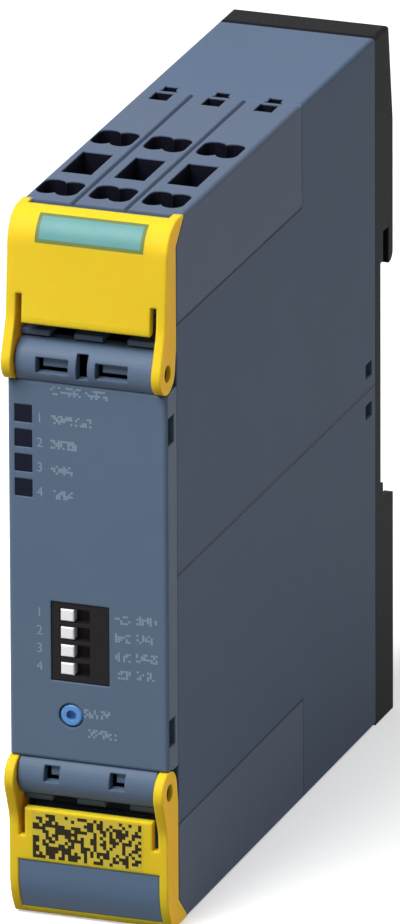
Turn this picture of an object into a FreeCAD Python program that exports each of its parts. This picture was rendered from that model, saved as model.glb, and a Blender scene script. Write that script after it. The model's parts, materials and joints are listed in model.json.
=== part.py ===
"""Slim safety relay for a 35 mm mounting rail: one STEP file for each piece, in millimetres.

The pieces are drawn with X across the relay, Y as the distance behind its flat front face and
Z up from its underside.  export() then shifts them along Y, so that the origin of the finished
part is the middle of its footprint.  The lower half mirrors the upper half about the seam.
"""
import FreeCAD, Part
import math
import os
from FreeCAD import Vector

# ---------------------------------------------------------------- overall sizes
width = 22.5                 # across, one standard module
height = 100.0
body_depth = 91.4            # flat front face to the back of the rail foot
shell_wall = 1.2             # enclosure walls
cover_wall = 1.3             # yellow covers and the grey front
edge_round = 0.6             # long outer edges
fit_gap = 0.1                # between fixed pieces that slot together
run_gap = 0.15               # round pieces that move

half = width / 2
seam = height / 2
board_thickness = 1.6
board_play = 0.15            # between the left wall and the main board
main_board_x = -half + shell_wall + board_play
pin_size = 0.8
pin_play = 0.05              # between the main board and the first plug pin

# ---------------------------------------------------------------- depths behind the front face
shell_front = 4.0            # front edge of the enclosure's side walls
block_front = 6.4            # front wall of a terminal block
block_back = 54.0            # back wall of a terminal block
shell_back = body_depth - 7.4  # where the rail foot takes over from the enclosure

# ---------------------------------------------------------------- terminal blocks
block_height = 14.5
shoulder_edge = 0.7          # upright above the slope that follows the cover's lip
pitch = width / 3            # one terminal to the next
first_column = main_board_x + board_thickness + pin_play + pin_size / 2
column_shift = first_column + pitch   # the row of terminals sits slightly left of the middle
columns = [column_shift + step * pitch for step in (-1, 0, 1)]
entry_centres = (11.9, 33.2)  # front and rear wire entries
lobe_radius = 1.55
lobe_offset = 1.4            # the two wires of an entry lie side by side
lobe_straight = 1.45         # half of the straight part of a lobe
lobe_stagger = 0.1
slot_runs = 8                # flats round one end of a lobe
shaft_width = 4.5
shaft_length = 4.2
release_centre = 22.3
release_width = 4.3
release_length = 8.8
chamber_width = pitch - 2.8
chamber_front = 9.6
chamber_back = 35.9
chamber_top = 6.0            # chamber roof below the wire side of the block
floor_thickness = 1.2
coding_centre = 51.4         # slot over the plug contact
coding_width = 2.6
coding_length = 3.1
coding_depth = 6.0
groove_width = 0.7
groove_depth = 0.6
apron_drop = 2.9             # front wall reaching below the block
apron_thickness = 1.05
tab_width = 4.0
tab_front = 1.8
tab_thickness = 0.8
deck_front = block_front + apron_thickness + fit_gap
deck_top = height - block_height - fit_gap
deck_thickness = 1.2
block_bottom = height - block_height
recess_back = block_back + fit_gap

# ---------------------------------------------------------------- plug between board and block
contact_level = block_bottom + 4.0
pin_front = 49.0
pin_hole = 1.4
tunnel_width = 3.0
tunnel_height = 3.6
header_depth = 3.4
header_height = 4.6
release_slot_width = 1.9     # screwdriver notch in the edge of the roof behind the block
release_slot_length = 1.5
release_slot_shift = 0.1
release_slot_depth = 0.8

# ---------------------------------------------------------------- hinged covers
hinge_depth = 0.5
hinge_level = height - 20.3
eye_radius = 2.9
eye_hole = 1.18
trunnion_radius = 1.1
trunnion_length = 0.75
arm_width = cover_wall
arm_gap = 0.2
slit_width = 0.9
bar_half = half - arm_width - arm_gap
flange_back = shell_front - run_gap
lip_back = 5.0
corner_back = block_front + 0.5
tongue_gap_upper = 2.6
tongue_gap_lower = 1.7
slit_length = 4.0
plate_width = 20.1
plate_height = 7.3
plate_level = 1.3
plate_seat = 0.6             # the plate lies in a pocket this deep
plate_sunk = 0.1             # and this far below the cover's surface
upper_face = [(-0.35, height - 15.1), (0.8, height, 4.5), (lip_back, height)]
lower_face = [(-0.4, height - 16.0), (-0.4, height - 3.7, 10.0), (1.7, height - 0.25, 0.8),
              (lip_back, height - 0.25)]
arm_curve = 6.0
corner_height = 0.5

# ---------------------------------------------------------------- grey front
bar_foot = height - 23.1     # where the hinge bar rises from the flat front
bar_top = height - 17.7
bar_bulge = 1.1
bar_top_depth = 1.2
bar_wall = 1.8
bar_runs = 12                # flats across the rounded front of a bar
pocket_reach = 4.2           # pockets lie this far each side of the middle column
pocket_width = 4.6
pocket_height = 2.2
pocket_foot = bar_foot + 1.4
slot_line = 0.75             # width of the narrow slots along a pocket
small_pocket = 2.2
small_pocket_reach = 4.65
keyway_width = 1.6
keyway_height = 3.5
keyway_foot = bar_foot + 1.0
clip_window_depth = 2.3
clip_window_height = 3.9
clip_window_front = 0.5
clip_thickness = 1.1
clip_inset = 0.9             # the clips stay this far inside the sides
window_size = 2.4
window_pitch = 3.5
window_top_level = bar_foot - 4.9
window_x = -half + 2.25
led_x = window_x + 1.0
guide_web_rim = 0.4          # the web of the light guides stands out this far round the windows
guide_foot = window_top_level - 3 * window_pitch - window_size / 2 - guide_web_rim
clip_levels = {-1: (seam + guide_foot + fit_gap) / 2, 1: seam + 21.4}   # left and right

# ---------------------------------------------------------------- slide switch
switch_width = 8.1
switch_height = 11.1
switch_x = -1.15
switch_level = height - bar_foot + 17.1
switch_inset = 0.15
lever_pitch = 2.54
lever_width = 1.9
lever_height = 1.7
lever_travel = 2.1
lever_x = -3.0
lever_depth = 1.3
lever_proud = 0.1

# ---------------------------------------------------------------- push button
button_x = -2.5
button_level = height - bar_foot + 6.7
button_radius = 1.6
button_travel = 0.6
button_thickness = 1.0
button_bevel = 0.25
button_dimple = 0.7
button_flange = 2.2
stem_radius = 1.0

# ---------------------------------------------------------------- circuit boards
main_board_front = 12.0
main_board_back = shell_back - 6.5
front_board_depth = 5.2
front_board_thickness = 1.0
front_board_half = half - 2.65
front_board_low = height - bar_foot + 1.4
front_board_high = bar_foot - 1.4
post_radius = 1.1
post_inset = 2.0             # from the ends of the front board
post_x = front_board_half - 1.6
post_beside_guides = -4.4    # the upper left post stands clear of the light guides
board_posts = [(-post_x, front_board_low + post_inset), (post_x, front_board_low + post_inset),
               (post_beside_guides, front_board_high - post_inset), (post_x, front_board_high - post_inset)]
guide_height = 1.6
guide_width = 0.8

# ---------------------------------------------------------------- parts on the main board
part_gap = 2.5               # between neighbours on the board
chip_length = 10.0
chip_height = 1.4
chip_reach = 9.0             # from the seam
chip_back = main_board_back - 0.5
relay_front = 24.0
relay_back = chip_back - chip_length - part_gap - 0.5
relay_breadth = 13.0
relay_height = width - 6.5
relay_spacing = 17.0         # middle to middle
relay_chamfer = 0.5
core_front = 20.0            # ferrite core
core_length = 16.0
core_height = 12.0
core_leg = 3.0
core_middle_leg = 4.0
core_low = seam + (relay_spacing + relay_breadth) / 2 + part_gap
core_top = deck_top - deck_thickness - 2.7
winding_radius = 4.5
winding_height = 6.0         # middle of the winding above the board
capacitor_radius = 5.0
capacitor_centre = (48.0, deck_top - deck_thickness - 9.2)
coupler_front = 24.0
coupler_pitch = 9.0
coupler_length = 6.0
coupler_breadth = 5.0
coupler_height = 3.6
coupler_low = height - deck_top + deck_thickness + 6.2

# ---------------------------------------------------------------- rail foot
rail_level = seam + 0.4      # middle of the mounting rail
rail_height = 35.0
rail_seat = body_depth - 4.1
rail_floor = rail_seat - 1.0
notch_top = rail_level + 16.3
notch_bottom = rail_level - 15.9
hook_slot = 2.3
hook_top = rail_level + 20.6
hook_tip = rail_level + 15.3
foot_back = body_depth - 1.4   # back of the foot at its top edge
foot_slope = 14.0            # the back leans in over this height at the top
foot_skin = 1.6
snap_depth = 2.5             # side windows where the foot clips into the enclosure
snap_height = 2.1
snap_front = shell_back - 4.0
snap_inset = 0.9             # the foot's snap noses stay this far inside the sides
snap_offset = 2.95
lap_thickness = 0.6
lap_drop = 1.5
lap_margin = 8.0
latch_travel = 2.5
latch_half = 6.0
latch_rail_half = 7.2
latch_rail_depth = 1.4
latch_nose_half = 9.9
latch_nose_top = notch_bottom - 0.6
latch_nose_height = 4.7
latch_nose_front = body_depth - 2.8
latch_foot_level = 3.0
latch_channel = rail_seat
latch_window_half = 2.6
latch_window_low = 5.0
latch_window_high = 19.0
ledge_height = 1.5
spring_radius = 1.0
spring_wire = 0.3
spring_turns = 7
spring_steps = 10            # straight runs in one turn
spring_depth = latch_channel + 2.0   # middle of the spring
foot_side_wall = 1.1


# ---------------------------------------------------------------- small helpers
def box(x0, x1, y0, y1, z0, z1):
    return Part.makeBox(x1 - x0, y1 - y0, z1 - z0, Vector(x0, y0, z0))


def wide_box(half_width, y0, y1, z0, z1, middle=0.0):
    return box(middle - half_width, middle + half_width, y0, y1, z0, z1)


def corner_arc(before, corner, after, radius):
    """Arc that rounds a corner of an outline: its start, middle and end."""
    back = (before - corner).normalize()
    ahead = (after - corner).normalize()
    spread = back.getAngle(ahead) / 2
    inward = (back + ahead).normalize()
    centre = corner + inward * (radius / math.sin(spread))
    reach = radius / math.tan(spread)
    return [corner + back * reach, centre - inward * radius, corner + ahead * reach]


def side_wire(steps):
    """Closed outline in the YZ plane.  A step is a corner (y, z), a corner with a radius (y, z, r), or a
    pair of points (through, end) for an arc that starts at the corner before it."""
    ends = [Vector(0, *(step[1] if isinstance(step[0], tuple) else step[:2])) for step in steps]
    edges = []
    start = None
    for index, step in enumerate(steps):
        end = ends[index]
        curve = None
        if isinstance(step[0], tuple):
            edges.append(Part.Arc(start, Vector(0, *step[0]), end).toShape())
            start = end
            continue
        if len(step) == 3:
            curve = corner_arc(ends[index - 1], end, ends[(index + 1) % len(ends)], step[2])
            end = curve[0]
        if start is None:
            first = end
        elif (start - end).Length > 1e-6:
            edges.append(Part.makeLine(start, end))
        if curve:
            edges.append(Part.Arc(*curve).toShape())
            end = curve[2]
        start = end
    if (start - first).Length > 1e-6:
        edges.append(Part.makeLine(start, first))
    return Part.Wire(edges)


def side_prism(steps, x0, x1):
    """Side outline carried across from x0 to x1."""
    solid = Part.Face(side_wire(steps)).extrude(Vector(x1 - x0, 0, 0))
    solid.translate(Vector(x0, 0, 0))
    return solid


def both_sides(steps, inner, outer):
    """The same side outline at the left and at the right."""
    return side_prism(steps, -outer, -inner).fuse(side_prism(steps, inner, outer))


def sheet(points, thickness, left_share=0.5):
    """Outline of bent sheet along a line in the YZ plane.  A point may carry a bend radius; left_share
    is the part of the thickness that lies to the left of the line."""
    sides = {1: [], -1: []}
    for index, point in enumerate(points):
        here = Vector(0, point[0], point[1])
        before = Vector(0, *points[max(index - 1, 0)][:2])
        after = Vector(0, *points[min(index + 1, len(points) - 1)][:2])
        into = here - before if index else after - here
        out = after - here if index < len(points) - 1 else into
        into.normalize()
        out.normalize()
        turn = (into + out).normalize()
        bend = into.y * out.z - into.z * out.y
        for side, share in ((1, left_share), (-1, 1 - left_share)):
            reach = side * share * thickness
            corner = [here.y - turn.z * reach / turn.dot(into), here.z + turn.y * reach / turn.dot(into)]
            radius = point[2] - math.copysign(1, bend) * reach if len(point) == 3 else 0
            if radius > 0.1:
                corner.append(radius)
            sides[side].append(tuple(corner))
    return sides[1] + sides[-1][::-1]


def strip(points, thickness, x0, x1):
    """Bent sheet metal of one thickness, x0 to x1 across."""
    return side_prism(sheet(points, thickness), x0, x1)


def cylinder_x(radius, x0, x1, y, z):
    return Part.makeCylinder(radius, x1 - x0, Vector(x0, y, z), Vector(1, 0, 0))


def cylinder_y(radius, x, y0, y1, z):
    return Part.makeCylinder(radius, y1 - y0, Vector(x, y0, z), Vector(0, 1, 0))


def lower(shape):
    """The lower twin of an upper piece."""
    return shape.mirror(Vector(0, 0, seam), Vector(0, 0, 1))


def round_points(radius, x, y, first, last, runs):
    """Points round a circle, from one angle to another in degrees."""
    angles = [math.radians(first + (last - first) * step / runs) for step in range(runs + 1)]
    return [(x + radius * math.cos(angle), y + radius * math.sin(angle)) for angle in angles]


def upright_slot(radius, straight, x, y, z0, z1):
    """Slot with round ends, long along Y, cut from z0 to z1."""
    outline = round_points(radius, x, y + straight, 0, 180, slot_runs)
    outline += round_points(radius, x, y - straight, 180, 360, slot_runs)
    wire = Part.makePolygon([Vector(*point, z0) for point in outline + outline[:1]])
    return Part.Face(wire).extrude(Vector(0, 0, z1 - z0))


def disc_y(radius, x, y0, y1, z, runs=32):
    """Short round piece along Y, made with flats."""
    outline = round_points(radius, x, z, 0, 360, runs)
    wire = Part.makePolygon([Vector(u, y0, v) for u, v in outline[:-1] + outline[:1]])
    return Part.Face(wire).extrude(Vector(0, y1 - y0, 0))


def round_long_edges(shape, z, radius):
    """Round the outer edges that run front to back at one level."""
    chosen = []
    for edge in shape.Edges:
        ends = [vertex.Point for vertex in edge.Vertexes]
        if len(ends) == 2 and all(abs(abs(end.x) - half) < 1e-6 and abs(end.z - z) < 1e-6 for end in ends):
            chosen.append(edge)
    return shape.makeFillet(radius, chosen)


# ---------------------------------------------------------------- enclosure
def snap_windows():
    """Side windows behind the seam, one in each half."""
    level = seam + snap_offset
    windows = wide_box(half + 1, snap_front, snap_front + snap_depth,
                       level - snap_height / 2, level + snap_height / 2)
    return windows.cut(wide_box(half - shell_wall - 1, 0, body_depth, 0, height))


def front_clips():
    """Tongues that reach into the grey front and snap into its side windows."""
    outer = half - shell_wall - fit_gap
    root = shell_front + 2 * clip_thickness
    front = cover_wall + fit_gap
    nose_back = clip_window_front + clip_window_depth - fit_gap
    reach = clip_window_height / 2 - fit_gap
    clips = []
    for side, level in clip_levels.items():
        low = level - reach
        across = sorted((side * (outer - clip_thickness), side * outer))
        joint = sorted((side * (outer - clip_thickness), side * (outer + fit_gap)))
        tip = side * (half - clip_inset)
        corners = [(side * outer, front), (tip, (front + nose_back) / 2), (tip, nose_back),
                   (side * outer, nose_back), (side * outer, front)]
        nose = Part.Face(Part.makePolygon([Vector(x, y, low) for x, y in corners]))
        clips.append(nose.extrude(Vector(0, 0, 2 * reach)))
        clips.append(box(*across, front, root, low, level + reach))
        clips.append(box(*joint, shell_front, root, low, level + reach))
    return clips


def board_guides(z0, z1, y0, y1):
    """A pair of ribs that hold the edge of the main board."""
    left = main_board_x - fit_gap
    right = main_board_x + board_thickness + fit_gap
    inner = -(half - shell_wall)
    ribs = [box(right, right + guide_width, y0, y1, z0, z1)]
    if left - inner > 0.05:
        ribs.append(box(inner, left, y0, y1, z0, z1))
    return ribs


def housing_half():
    roof = height - shell_wall
    shell = side_prism([(shell_front, seam), (shell_front, deck_top), (recess_back, deck_top),
                        (recess_back, height), (shell_back, height), (shell_back, seam)], -half, half)
    shell = round_long_edges(shell, height, edge_round)
    inside = half - shell_wall
    deck_low = deck_top - deck_thickness
    wall_back = recess_back + shell_wall
    cavity = side_prism([(0, seam - 1), (0, deck_top + 1), (deck_front, deck_top + 1), (deck_front, deck_low),
                         (wall_back, deck_low), (wall_back, roof), (shell_back + 1, roof),
                         (shell_back + 1, seam - 1)], -inside, inside)
    shell = shell.cut(cavity).cut(snap_windows())
    for x in columns:
        pin_way = box(x - pin_hole / 2, x + pin_hole / 2, block_back, wall_back + 1,
                      contact_level - pin_hole / 2, contact_level + pin_hole / 2)
        slot = wide_box(release_slot_width / 2, block_back, recess_back + release_slot_length,
                        height - release_slot_depth, height + 1, x + release_slot_shift)
        shell = shell.cut(pin_way).cut(slot)
    ribs = board_guides(deck_low - guide_height, deck_low, main_board_front, block_back)
    ribs += board_guides(roof - guide_height, roof, wall_back + header_depth + 1, main_board_back)
    return shell.fuse(front_clips() + ribs).removeSplitter()


def upper_housing():
    """The upper half also carries the lip that laps inside the lower half, opposite the main board."""
    outer = half - shell_wall - fit_gap
    front = shell_front + lap_margin
    back = snap_front - lap_margin
    lap = box(outer - lap_thickness, outer, front, back, seam - lap_drop, seam + lap_drop)
    root = box(outer - lap_thickness, outer + fit_gap, front, back, seam, seam + lap_drop)
    return housing_half().fuse([lap, root]).removeSplitter()


# ---------------------------------------------------------------- terminal blocks
def wire_entry(x, y):
    """Two lobes side by side, open to each other, down into the clamping chamber."""
    low = height - chamber_top - 0.5
    lobes = [upright_slot(lobe_radius, lobe_straight, x + side * lobe_offset, y - side * lobe_stagger,
                          low, height + 1) for side in (-1, 1)]
    shaft = box(x - shaft_width / 2, x + shaft_width / 2, y - shaft_length / 2, y + shaft_length / 2,
                low, height + 1)
    return shaft.fuse(lobes)


def terminal_block():
    slope_foot = height - shoulder_edge - (corner_back - shell_front)
    slope = [(shell_front + run_gap, block_bottom), (shell_front + run_gap, slope_foot),
             (corner_back + run_gap, height - shoulder_edge), (corner_back + run_gap, height)]
    cheek = side_prism(slope + [(block_back, height), (block_back, block_bottom)], -half, half)
    cheek = round_long_edges(cheek, height, edge_round)
    nose = side_prism([(0, block_bottom - 1), (0, height + 1), (block_front, height + 1),
                       (block_front, block_bottom - 1)], -(half - shell_wall - 0.1), half - shell_wall - 0.1)
    block = cheek.cut(nose)
    inner = half - shell_wall - 0.1
    front_fill = side_prism([(block_front, block_bottom), (block_front, height),
                             (corner_back + run_gap + 0.5, height),
                             (corner_back + run_gap + 0.5, block_bottom)], -inner, inner)
    apron = wide_box(bar_half, block_front, block_front + apron_thickness,
                     block_bottom - apron_drop, block_bottom)
    block = block.fuse([front_fill, apron])
    for x in columns:
        block = block.fuse(wide_box(tab_width / 2, tab_front, block_front, block_bottom - apron_drop,
                                    block_bottom - apron_drop + tab_thickness, x))
    block = block.removeSplitter()
    contact_low = contact_level - tunnel_height / 2
    cuts = [wide_box(inner - 0.05, chamber_front - 1, block_back - 1.2, block_bottom - 1,
                     block_bottom + floor_thickness)]
    for x in columns:
        cuts.append(wide_box(chamber_width / 2, chamber_front, chamber_back, block_bottom,
                             height - chamber_top, x))
        cuts.append(box(x - tunnel_width / 2, x + tunnel_width / 2, chamber_back - 1, block_back + 1,
                        contact_low, contact_low + tunnel_height))
        cuts += [wire_entry(x, y) for y in entry_centres]
        cuts.append(box(x - release_width / 2, x + release_width / 2, release_centre - release_length / 2,
                        release_centre + release_length / 2, height - chamber_top - 1, height + 1))
        cuts.append(box(x - coding_width / 2, x + coding_width / 2, coding_centre - coding_length / 2,
                        coding_centre + coding_length / 2, height - coding_depth, height + 1))
    for index in range(len(columns) - 1):
        middle = (columns[index] + columns[index + 1]) / 2
        groove = Part.Face(Part.makePolygon([
            Vector(middle - groove_width / 2, 0, height), Vector(middle, 0, height - groove_depth),
            Vector(middle + groove_width / 2, 0, height), Vector(middle, 0, height + 1),
            Vector(middle - groove_width / 2, 0, height)])).extrude(Vector(0, body_depth, 0))
        cuts.append(groove)
    return block.cut(cuts)


def block_floor():
    """Closes the block below and carries the current bars."""
    inner = half - shell_wall - 0.15 - fit_gap
    return wide_box(inner, chamber_front - 1 + fit_gap, block_back - 1.2 - fit_gap, block_bottom,
                    block_bottom + floor_thickness)


def current_bars():
    """One bent strip for each terminal, from the front clamp to the plug contact."""
    thickness = 0.6
    level = block_bottom + floor_thickness + thickness / 2
    front = chamber_front + 0.7
    back = chamber_back - 0.7
    high = level + 4.6
    bars = []
    for x in columns:
        wide = chamber_width / 2 - fit_gap
        seat = strip([(front, high), (front, level), (back, level), (back, high)], thickness,
                     x - wide, x + wide)
        blade_level = contact_level - pin_size / 2 - thickness / 2 - 0.05
        lead = strip([(back - 0.2, blade_level), (pin_front + 3.0, blade_level)], thickness, x - 1.0, x + 1.0)
        bars.append(seat.fuse(lead).removeSplitter())
    return bars


def clamp_springs():
    """Two push-in springs for each terminal, facing away from the release opening between them."""
    thickness = 0.3
    floor = block_bottom + floor_thickness + 0.6 + thickness / 2
    springs = []
    for x in columns:
        for entry, facing in zip(entry_centres, (1, -1)):
            shape = [(-0.4, 0), (4.6, 0), (5.2, 0.6), (5.2, 3.2), (4.6, 3.8), (3.8, 3.8), (-1.2, 1.6)]
            path = [(entry + facing * y, floor + z) for y, z in shape]
            springs.append(strip(path, thickness, x - 2.0, x + 2.0))
    return springs


def plug_header():
    """Strip on the main board that carries the plug pins."""
    front = recess_back + shell_wall
    left = main_board_x + board_thickness
    body = box(left, half - shell_wall - 0.5, front, front + header_depth,
               contact_level - header_height / 2, contact_level + header_height / 2)
    for x in columns:
        body = body.cut(box(x - pin_size / 2, x + pin_size / 2, front - 1, front + header_depth - 1,
                            contact_level - pin_size / 2, contact_level + pin_size / 2))
    return body


def plug_pins():
    back = recess_back + shell_wall + header_depth - 1
    return [box(x - pin_size / 2, x + pin_size / 2, pin_front, back,
                contact_level - pin_size / 2, contact_level + pin_size / 2) for x in columns]


# ---------------------------------------------------------------- hinged covers
def tangent_point(corner, centre, radius, side):
    """Where the line from a corner touches a circle, on its left (1) or right (-1) side."""
    away = math.hypot(corner[0] - centre[0], corner[1] - centre[1])
    angle = math.atan2(corner[1] - centre[1], corner[0] - centre[0]) + side * math.acos(radius / away)
    return (centre[0] + radius * math.cos(angle), centre[1] + radius * math.sin(angle))


def cover_sides(face):
    """Side outline of a cover: pin eye at the foot, arm, plate front, rounded shoulder, lip corner."""
    eye = (hinge_depth, hinge_level)
    waist = (face[0][0], hinge_level + 2 * eye_radius, arm_curve)
    heel = (flange_back, hinge_level + 0.9 * eye_radius)
    front_touch = tangent_point(waist, eye, eye_radius, 1)
    back_touch = tangent_point(heel, eye, eye_radius, -1)
    foot = (hinge_depth, hinge_level - eye_radius)
    top = face[-1][1]
    rise = corner_back - flange_back
    return [front_touch, waist] + face[1:-1] + [
        (corner_back, top), (corner_back, top - corner_height), (flange_back, top - corner_height - rise),
        heel, back_touch, (foot, front_touch)]


def terminal_cover(face, tongue_gap):
    """Yellow cover, drawn as the upper one.  face is the outer line of its plate, from the foot of the
    tongue to the end of the lip, with the radius of each bend."""
    tongue = bar_top + tongue_gap
    cover = side_prism(cover_sides(face), -half, half)
    inner_line = sheet(face, cover_wall, 0.0)[len(face):][::-1]
    behind = side_prism([(inner_line[0][0], tongue)] + inner_line[1:] + [
        (lip_back, height + 1), (body_depth, height + 1), (body_depth, 0), (-body_depth, 0),
        (-body_depth, tongue)], -half + arm_width, half - arm_width)
    slits = both_sides([(-body_depth, tongue - 1), (-body_depth, tongue + slit_length),
                        (body_depth, tongue + slit_length), (body_depth, tongue - 1)],
                       half - arm_width - slit_width, half - arm_width + 0.01)
    before_tongue = wide_box(half - arm_width - slit_width / 2, -body_depth, face[0][0], hinge_level,
                             hinge_level + 2 * eye_radius + arm_curve)
    hole = cylinder_x(eye_hole, -half - 1, half + 1, hinge_depth, hinge_level)
    return cover.cut([behind, slits, before_tongue, hole])


def plate_room(depth, gap):
    """What the marking plate takes up of the lower cover, drawn as on an upper one."""
    room = side_prism(sheet(lower_face, depth, 0.0), -plate_width / 2 + gap, plate_width / 2 - gap)
    top = height - plate_level
    return room.common(wide_box(half, -body_depth, body_depth, top - plate_height + gap, top - gap))


def upper_cover():
    return terminal_cover(upper_face, tongue_gap_upper)


def lower_cover():
    return lower(terminal_cover(lower_face, tongue_gap_lower).cut(plate_room(plate_seat, 0)))


def marking_plate():
    """Grey plate let into the lower cover, following its curve."""
    return lower(plate_room(plate_seat, fit_gap).cut(plate_room(plate_sunk, 0)))


# ---------------------------------------------------------------- grey front
def pocket_cut(x, foot, wide, high):
    """Shallow pocket with narrow slots right through along its left side and its foot."""
    recess = box(x, x + wide, -bar_bulge - 1, 0, foot, foot + high)
    side_slot = box(x, x + slot_line, -bar_bulge - 1, shell_front, foot, foot + high)
    foot_slot = box(x, x + wide, -bar_bulge - 1, shell_front, foot, foot + slot_line)
    return recess.fuse([side_slot, foot_slot])


def hinge_bar():
    """Rounded bar across the front, hollow behind, with a trunnion at each end."""
    crest = Vector(0, -bar_bulge, (bar_foot + bar_top) / 2 - 0.2)
    bow = Part.Arc(Vector(0, 0, bar_foot), crest, Vector(0, bar_top_depth, bar_top)).toShape()
    front = [(point.y, point.z) for point in bow.discretize(bar_runs + 1)]
    bar = side_prism(front + [(shell_front - fit_gap, bar_top), (shell_front - fit_gap, bar_foot)],
                     -bar_half, bar_half)
    hollow = wide_box(bar_half - 1.4, bar_wall - bar_bulge, shell_front, bar_foot - 1, bar_top - 1.4)
    trunnions = [cylinder_x(trunnion_radius, side * bar_half - (trunnion_length + arm_gap if side < 0 else 0),
                            side * bar_half + (trunnion_length + arm_gap if side > 0 else 0),
                            hinge_depth, hinge_level) for side in (-1, 1)]
    return bar.cut(hollow).fuse(trunnions)


def front_cover():
    low = height - bar_foot
    inner = half - shell_wall
    face = side_prism([(0, low), (0, bar_foot), (shell_front - fit_gap, bar_foot),
                       (shell_front - fit_gap, low)], -half, half)
    corners = []
    for edge in face.Edges:
        if all(abs(abs(vertex.X) - half) < 1e-6 and abs(vertex.Y) < 1e-6 for vertex in edge.Vertexes):
            corners.append(edge)
    face = face.makeFillet(edge_round, corners)
    face = face.cut(wide_box(inner, cover_wall, shell_front, low - 1, bar_foot + 1))
    eye_room = cylinder_x(eye_radius + arm_gap, -half - 1, half + 1, hinge_depth, hinge_level)
    eye_room = eye_room.cut(wide_box(bar_half, -body_depth, body_depth, 0, height))
    bars = [hinge_bar(), lower(hinge_bar())]
    cover = face.cut([eye_room, lower(eye_room)]).fuse(bars).removeSplitter()
    middle = column_shift
    cuts = [pocket_cut(middle + side * pocket_reach - pocket_width / 2, pocket_foot, pocket_width,
                       pocket_height) for side in (-1, 1)]
    cuts.append(box(middle - keyway_width / 2, middle + keyway_width / 2, -bar_bulge - 1, shell_front,
                    keyway_foot, keyway_foot + keyway_height))
    small_foot = height - bar_top + 2.6
    cuts += [pocket_cut(middle + side * small_pocket_reach - small_pocket / 2, small_foot, small_pocket,
                        small_pocket) for side in (-1, 1)]
    for side, clip_level in clip_levels.items():
        across = sorted((side * (inner - 1), side * (half + 1)))
        for level in (clip_level, height - clip_level):
            cuts.append(box(*across, clip_window_front, clip_window_front + clip_window_depth,
                            level - clip_window_height / 2, level + clip_window_height / 2))
    for index in range(4):
        level = window_top_level - index * window_pitch
        reach = window_size / 2 + fit_gap / 2
        cuts.append(box(window_x - reach, window_x + reach, -1, cover_wall + 1, level - reach, level + reach))
    cuts.append(wide_box(switch_width / 2 + fit_gap, -1, cover_wall + 1, switch_level - switch_height / 2
                         - fit_gap, switch_level + switch_height / 2 + fit_gap, switch_x))
    cuts.append(disc_y(button_radius + run_gap, button_x, -1, cover_wall + 1, button_level))
    cover = cover.cut(cuts)
    posts = [disc_y(post_radius, x, cover_wall, front_board_depth, level, 12)
             for x, level in board_posts]
    return cover.fuse(posts).removeSplitter()


def light_guides():
    """Four square windows on one web behind the front wall."""
    reach = window_size / 2
    inner = -(half - shell_wall) + run_gap
    right = window_x + reach
    pieces = []
    for index in range(4):
        level = window_top_level - index * window_pitch
        pieces.append(box(window_x - reach, right, 0.05, cover_wall, level - reach, level + reach))
        pieces.append(box(inner, right, cover_wall, front_board_depth - 1.2, level - reach, level + reach))
    web = box(inner, right + 0.7, cover_wall, cover_wall + 0.9, guide_foot,
              window_top_level + reach + guide_web_rim)
    return web.fuse(pieces).removeSplitter()


def status_leds():
    leds = []
    for index in range(4):
        level = window_top_level - index * window_pitch
        leds.append(wide_box(0.45, front_board_depth - 0.9, front_board_depth, level - 0.8, level + 0.8, led_x))
    return leds


# ---------------------------------------------------------------- slide switch and button
def lever_levels():
    return [switch_level + (1.5 - index) * lever_pitch for index in range(4)]


def dip_switch():
    body = wide_box(switch_width / 2, switch_inset, front_board_depth, switch_level - switch_height / 2,
                    switch_level + switch_height / 2, switch_x)
    x0 = lever_x - lever_width / 2 - run_gap
    x1 = lever_x + lever_width / 2 + lever_travel + run_gap
    for level in lever_levels():
        body = body.cut(box(x0, x1, 0, switch_inset + lever_depth + run_gap,
                            level - lever_height / 2 - run_gap, level + lever_height / 2 + run_gap))
    return body


def dip_lever(level):
    front = switch_inset - lever_proud
    lever = box(lever_x - lever_width / 2, lever_x + lever_width / 2, front, switch_inset + lever_depth,
                level - lever_height / 2, level + lever_height / 2)
    rim = [edge for edge in lever.Edges if all(abs(vertex.Y - front) < 1e-6 for vertex in edge.Vertexes)]
    return lever.makeChamfer(0.15, rim)


def round_rim(radius, bevel, x, y, z, runs=32):
    """Bevelled front of a round piece."""
    wires = []
    for reach, depth in ((radius - bevel, y), (radius, y + bevel)):
        outline = round_points(reach, x, z, 0, 360, runs)
        wires.append(Part.makePolygon([Vector(u, depth, v) for u, v in outline[:-1] + outline[:1]]))
    return Part.makeLoft(wires, True, True)


def reset_button():
    front = 0.05
    back = cover_wall + run_gap
    cap = disc_y(button_radius, button_x, front + button_bevel, back, button_level)
    flange = disc_y(button_flange, button_x, back, back + 0.5, button_level)
    stem = disc_y(stem_radius, button_x, back + 0.5, front_board_depth - 1.4, button_level, 16)
    dimple = disc_y(button_dimple, button_x, -1, button_thickness, button_level, 16)
    rim = round_rim(button_radius, button_bevel, button_x, front, button_level)
    return rim.fuse([cap, flange, stem]).removeSplitter().cut(dimple)


def reset_switch():
    """Push switch on the front board; the button's stem runs in it."""
    front = front_board_depth - 2.0
    body = wide_box(2.2, front, front_board_depth, button_level - 2.2, button_level + 2.2, button_x)
    return body.cut(disc_y(stem_radius + run_gap, button_x, front - 1, front_board_depth - 0.3,
                           button_level, 16))


# ---------------------------------------------------------------- electronics
def main_board():
    deck_low = deck_top - deck_thickness
    edge = deck_low - fit_gap
    tall = height - shell_wall - fit_gap
    neck = recess_back + shell_wall + fit_gap
    outline = [(main_board_front, height - edge), (neck, height - edge), (neck, height - tall),
               (main_board_back, height - tall), (main_board_back, tall), (neck, tall),
               (neck, edge), (main_board_front, edge)]
    return side_prism(outline, main_board_x, main_board_x + board_thickness)


def front_board():
    return box(-front_board_half, front_board_half, front_board_depth,
               front_board_depth + front_board_thickness, front_board_low, front_board_high)


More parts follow.
